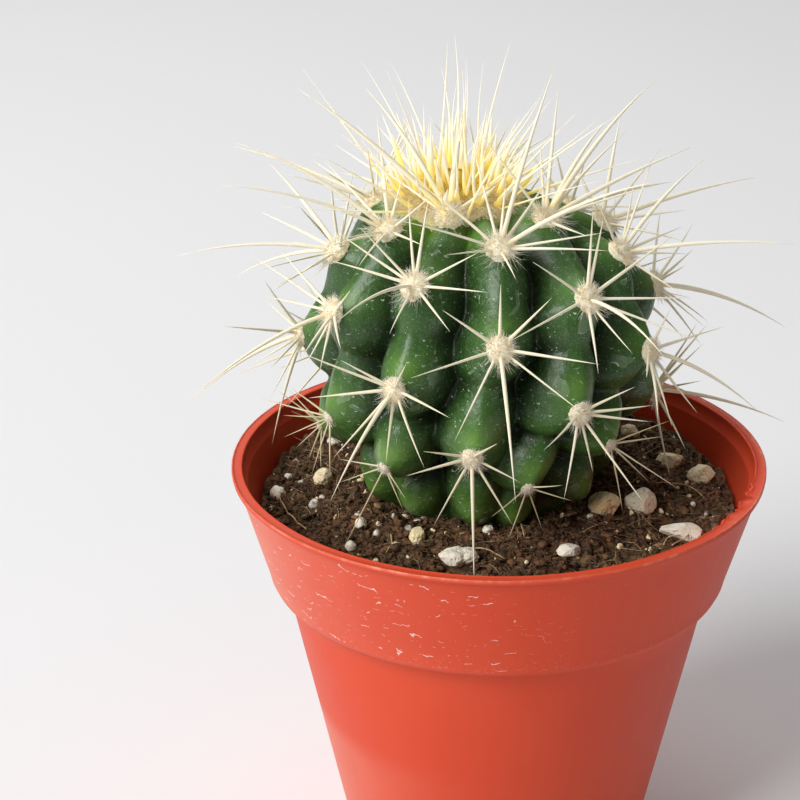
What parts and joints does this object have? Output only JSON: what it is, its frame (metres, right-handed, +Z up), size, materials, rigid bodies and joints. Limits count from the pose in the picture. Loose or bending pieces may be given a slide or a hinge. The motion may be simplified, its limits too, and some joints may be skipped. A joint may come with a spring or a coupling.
{
  "type": "potted round cactus",
  "caption": "Small round ribbed cactus with cream spines and a woolly crown, growing in a tapered plastic nursery pot of soil.",
  "frame": {"origin": "centre of the pot's underside", "axes": "+Z up through the pot's mouth, -Y towards the side that is usually seen"},
  "size_m": [0.1035, 0.1016, 0.1431],
  "materials": {
    "plastic": "orange-red moulded plastic, slightly worn, with faint lime marks on the collar",
    "peat": "coarse dark peat, slightly damp",
    "cactus_skin": "smooth waxy dark green skin with tiny pale dots; cream wool and spines on it",
    "wool": "short cream wool with yellow-based cream spines",
    "pumice": "matt cream to tan stone"
  },
  "bodies": {
    "root": {"pot": "plastic", "soil": "peat", "stem": "cactus_skin", "crown": "wool", "stone_01": "pumice", "stone_02": "pumice", "stone_03": "pumice", "stone_04": "pumice", "stone_05": "pumice", "stone_06": "pumice", "stone_07": "pumice", "stone_08": "pumice", "stone_09": "pumice", "stone_10": "pumice", "stone_11": "pumice", "stone_12": "pumice", "stone_13": "pumice", "stone_14": "pumice"}
  },
  "joints": []
}
